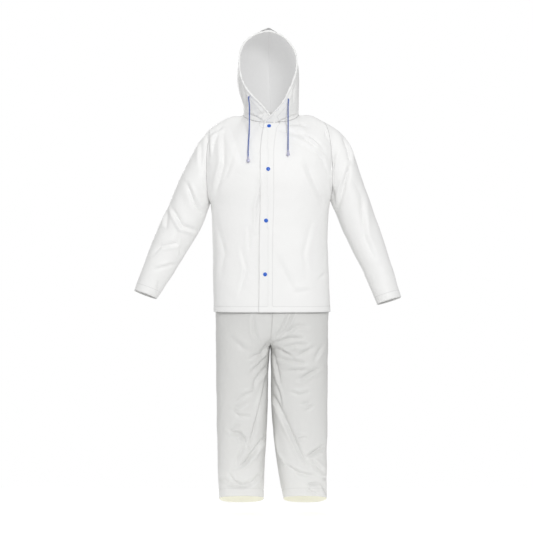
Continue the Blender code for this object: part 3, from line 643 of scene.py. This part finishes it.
def mix_vinyl(material, colour, line_colour, roughness, lines):
    shader = shader_of(material)
    shader.inputs["Roughness"].default_value = roughness
    shader.inputs["IOR"].default_value = 1.53
    coordinates = add_node(material, "ShaderNodeTexCoord").outputs["Object"]
    marks = [line_at(material, *line) for line in lines]
    crumple = add_node(material, "ShaderNodeTexNoise", {"Vector": coordinates}, Scale=38.0, Detail=3.0)
    grain = add_node(material, "ShaderNodeTexNoise", {"Vector": coordinates}, Scale=900.0, Detail=1.0)
    slow = add_node(material, "ShaderNodeBump", {"Height": crumple.outputs["Fac"]}, Distance=0.0016)
    slow.inputs["Strength"].default_value = 0.5
    fine = add_node(
        material,
        "ShaderNodeBump",
        {"Height": grain.outputs["Fac"], "Normal": slow.outputs["Normal"]},
        Distance=0.0001,
    )
    fine.inputs["Strength"].default_value = 0.5
    normal = fine.outputs["Normal"]
    mix = add_node(material, "ShaderNodeMix", data_type="RGBA")
    mix.inputs[6].default_value = linear(colour)
    mix.inputs[7].default_value = linear(line_colour)
    if marks:
        total = add_up(material, marks)
        pressed = add_node(
            material, "ShaderNodeBump", {"Height": total, "Normal": normal}, invert=True, Distance=0.0008
        )
        normal = pressed.outputs["Normal"]
        material.node_tree.links.new(total, mix.inputs["Factor"])
    else:
        mix.inputs["Factor"].default_value = 0.0
    material.node_tree.links.new(mix.outputs[2], shader.inputs["Base Color"])
    material.node_tree.links.new(normal, shader.inputs["Normal"])


LINES = (
    # attribute, where in mm, half width in mm, strength
    ("weld_mm", 0.0, 1.3, 0.6),
    ("weld_mm", 6.0, 1.2, 0.25),
    ("hem_mm", 0.0, 1.4, 0.6),
)
TROUSER_LINES = (("weld_mm", 0.0, 1.2, 0.12), ("hem_mm", 0.0, 1.4, 0.35))
mix_vinyl(MATERIALS["jacket"], "F6F6F5", "D8D8D8", 0.56, LINES)
mix_vinyl(MATERIALS["jacket_inside"], "E2E2E0", "C8C8C8", 0.5, LINES)
mix_vinyl(MATERIALS["casing"], "F6F6F5", "D8D8D8", 0.56, ())
# Painted shade: the hood's inner side is coloured grey, much darker than the jacket's inner side, to
# stand in for the shade inside the hood.
mix_vinyl(MATERIALS["hood_inside"], "A2A2A2", "868686", 0.5, LINES[:1])
mix_vinyl(MATERIALS["trousers"], "DDDDDB", "C3C3C2", 0.52, TROUSER_LINES)
mix_vinyl(MATERIALS["trousers_inside"], "ECEBDF", "D6D5C8", 0.5, TROUSER_LINES)
# The sheet is milky and thin, so light comes through it to the inner side. This is painted light: the
# inner sides of the hood and the trousers glow by emission.
for part, tint, strength in (("hood_inside", "FFFFFF", 0.36), ("trousers_inside", "FFFEF2", 0.14)):
    inner = shader_of(MATERIALS[part])
    inner.inputs["Emission Color"].default_value = linear(tint)
    inner.inputs["Emission Strength"].default_value = strength

# %% [markdown]
# ## How the sheets are held
# The jacket hangs from the shoulders and the trousers from the elastic waist.

# %% [markdown]
# ## Drawstring
# The drawstring is a soft braided cord in a casing round the face opening, and its two free ends
# hang down the chest. Each is a curve with a round section. The braid follows the cord, so its
# strands are drawn on the curve's own lengthwise and crosswise coordinates.

# %% Hang the two cord ends
CORD_RADIUS = 0.00225
CORD_ROUTES = {
    "cord_right": (
        (-0.0813, -0.0988, 0.0621),
        (-0.0830, -0.1015, 0.0616),
        (-0.0834, -0.1048, 0.0565),
        (-0.0818, -0.1058, 0.0440),
        (-0.0802, -0.1060, 0.0200),
        (-0.0805, -0.1066, -0.0250),
        (-0.0812, -0.1120, -0.0720),
        (-0.0838, -0.1290, -0.1180),
        (-0.0846, -0.1440, -0.1450),
        (-0.0844, -0.1482, -0.1560),
        (-0.0844, -0.1485, -0.1640),
    ),
    "cord_left": (
        (0.0630, -0.1039, 0.0526),
        (0.0644, -0.1068, 0.0519),
        (0.0646, -0.1092, 0.0470),
        (0.0636, -0.1100, 0.0350),
        (0.0630, -0.1100, 0.0100),
        (0.0632, -0.1105, -0.0400),
        (0.0632, -0.1170, -0.0800),
        (0.0628, -0.1330, -0.1120),
        (0.0627, -0.1430, -0.1280),
        (0.0628, -0.1453, -0.1340),
        (0.0628, -0.1455, -0.1400),
    ),
}


def smooth_route(points, step=0.004):
    """A smooth path through the points, as evenly spaced places."""
    points = [Vector(point) for point in points]
    out = []
    for number in range(len(points) - 1):
        before = points[max(number - 1, 0)]
        start, end = points[number], points[number + 1]
        after = points[min(number + 2, len(points) - 1)]
        count = max(2, round((end - start).length / step))
        for t in (i / count for i in range(count)):
            out.append(
                0.5
                * (
                    2 * start
                    + (end - before) * t
                    + (2 * before - 5 * start + 4 * end - after) * t * t
                    + (3 * start - before - 3 * end + after) * t**3
                )
            )
    return out + [points[-1]]


braid = new_material("polyester cord, blue, braided")
for cord, route in CORD_ROUTES.items():
    places = smooth_route(route)
    length = sum((b - a).length for a, b in zip(places, places[1:]))
    curve = bpy.data.curves.new(cord + "_braided", "CURVE")
    curve.dimensions = "3D"
    curve.bevel_depth = CORD_RADIUS
    curve.bevel_resolution = 4
    curve.use_fill_caps = True
    spline = curve.splines.new("POLY")
    spline.points.add(len(places) - 1)
    for point, place in zip(spline.points, places):
        point.co = (*place, 1)
    spline.use_smooth = True
    curve.materials.append(braid)
    made = bpy.data.objects.new(cord + "_braided", curve)
    bpy.context.scene.collection.objects.link(made)
    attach(made, "root")
    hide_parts(cord)
    print(cord, "is", round(length * 1000), "mm long")

# %% [markdown]
# ## Moulded pieces and the braid
# The cord is braided from dull polyester yarn, so it has crossing strands and no sharp gloss. The
# snap caps are moulded acetal, smooth and waxy, with a small clear highlight. The cord's ends are
# moulded from soft clear PVC, which lets some light through and looks faintly lavender. The caps
# and ends keep the CAD mesh and only get their finish.

# %% Dye the cord and paint shade between its strands, and finish the snaps and cord ends
STRANDS_ROUND = 6
STRAND_PITCH = 0.006


def mix_braid(material):
    shader = shader_of(material)
    shader.inputs["Roughness"].default_value = 0.75
    shader.inputs["Sheen Weight"].default_value = 0.3
    place = add_node(material, "ShaderNodeTexCoord").outputs["UV"]
    bands = []
    for turn in (1, -1):
        lay = add_node(material, "ShaderNodeMapping", {"Vector": place})
        lay.inputs["Rotation"].default_value = (0, 0, turn * math.pi / 4)
        lay.inputs["Scale"].default_value = (30, STRANDS_ROUND, 1)
        wave = add_node(material, "ShaderNodeTexWave", {"Vector": lay.outputs["Vector"]}, Scale=1.0)
        bands.append(wave.outputs["Fac"])
    height = add_node(material, "ShaderNodeMath", {0: bands[0], 1: bands[1]}, operation="MAXIMUM")
    # Painted shade: the blue is darker in the gaps between the strands and lighter on their raised tops.
    mix = add_node(material, "ShaderNodeMix", {"Factor": height.outputs[0]}, data_type="RGBA")
    mix.inputs[6].default_value = linear("38509A")
    mix.inputs[7].default_value = linear("5A75C4")
    bump = add_node(material, "ShaderNodeBump", {"Height": height.outputs[0]}, Distance=0.0005)
    material.node_tree.links.new(mix.outputs[2], shader.inputs["Base Color"])
    material.node_tree.links.new(bump.outputs["Normal"], shader.inputs["Normal"])


mix_braid(braid)

snap_blue = new_material("acetal, blue, moulded")
shader = shader_of(snap_blue)
shader.inputs["Base Color"].default_value = linear("2A66CE")
shader.inputs["Roughness"].default_value = 0.28
shader.inputs["IOR"].default_value = 1.48

clear = new_material("soft PVC, clear with a lavender tint, moulded")
shader = shader_of(clear)
shader.inputs["Base Color"].default_value = linear("D8D8EE")
shader.inputs["Roughness"].default_value = 0.22
shader.inputs["IOR"].default_value = 1.52
shader.inputs["Transmission Weight"].default_value = 0.35

FINISHES = {
    "snap_neck": snap_blue,
    "snap_chest": snap_blue,
    "snap_waist": snap_blue,
    "snap_hem": snap_blue,
    "cord_end_left": clear,
    "cord_end_right": clear,
}
for node, finish in FINISHES.items():
    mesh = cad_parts[node].data
    mesh.materials.clear()
    mesh.materials.append(finish)
print("finishes set on", len(FINISHES), "moulded pieces")

# %% [markdown]
# ## The hood's peak
# The front of the peak is darker than this soft light would make it, so it gets painted shade:
# a mask kept on the mesh tints it grey, so it stays with the cloth from every side.

# %% Paint shade on the front of the peak
white = MATERIALS["jacket"]
shade = add_node(white, "ShaderNodeAttribute", attribute_name="peak_shade")
painted_peak_shade_mix = add_node(white, "ShaderNodeMix", {"Factor": shade.outputs["Fac"]}, data_type="RGBA")
base_link = shader_of(white).inputs["Base Color"].links[0]
white.node_tree.links.new(base_link.from_socket, painted_peak_shade_mix.inputs[6])
painted_peak_shade_mix.inputs[7].default_value = linear("BABABA")
white.node_tree.links.new(painted_peak_shade_mix.outputs[2], shader_of(white).inputs["Base Color"])

# %% [markdown]
# ## Light, floor and camera
# The photograph is lit like a catalogue's: a broad soft light from the front, white all round,
# and no shadow. The camera stands level with the middle of the suit, 6 m away, so that the
# view is nearly flat.

# %% Set up the studio
def area_light(name, size, power, place, aim):
    data = bpy.data.lights.new(name, "AREA")
    data.shape = "SQUARE"
    data.size = size
    data.energy = power
    made = bpy.data.objects.new(name, data)
    made.location = place
    made.rotation_euler = (Vector(aim) - Vector(place)).to_track_quat("-Z", "Y").to_euler()
    bpy.context.scene.collection.objects.link(made)


area_light("front light", 1.8, 245, (1.5, -7.0, 2.0), (0, 0, -0.4))
area_light("top light", 4.0, 16, (0, 0.2, 3.6), (0, 0, 0))
area_light("side light", 2.5, 34, (-5.5, -3.5, 0.8), (0, 0, -0.2))
area_light("back light", 3.0, 190, (-2.0, 6.5, 1.6), (0, 0, -0.4))

world = bpy.data.worlds.new("white studio")
bpy.context.scene.world = world
world.use_nodes = True
sky = world.node_tree.nodes["Background"]
sky.inputs["Color"].default_value = (1, 1, 1, 1)
path = world.node_tree.nodes.new("ShaderNodeLightPath")
level = world.node_tree.nodes.new("ShaderNodeMapRange")
level.inputs["To Min"].default_value = 0.50
level.inputs["To Max"].default_value = 1.0
world.node_tree.links.new(path.outputs["Is Camera Ray"], level.inputs["Value"])
world.node_tree.links.new(level.outputs[0], sky.inputs["Strength"])

FLOOR_Z = -1.495
bpy.ops.object.select_all(action="DESELECT")
bpy.ops.mesh.primitive_plane_add(size=1.0, location=(0, 0.05, FLOOR_Z))
bpy.ops.transform.resize(value=(2.8, 1.15, 1.0))
floor = bpy.context.object
floor.name = "studio_floor"
floor.data.transform(floor.matrix_world)
floor.matrix_world = Matrix()
paper = new_material("studio paper, white")
shader_of(paper).inputs["Base Color"].default_value = linear("FAFAFA")
shader_of(paper).inputs["Roughness"].default_value = 0.9
shader_of(paper).inputs["Emission Color"].default_value = (1, 1, 1, 1)
shader_of(paper).inputs["Emission Strength"].default_value = 0.3
floor.data.materials.append(paper)

camera_data = bpy.data.cameras.new("camera")
camera_data.lens = 107.4
camera = bpy.data.objects.new("camera", camera_data)
camera.location = (-0.017, -6.0, -0.568)
camera.rotation_euler = (math.pi / 2, 0, 0)
bpy.context.scene.collection.objects.link(camera)
bpy.context.scene.camera = camera
bpy.context.scene.view_settings.view_transform = "Standard"
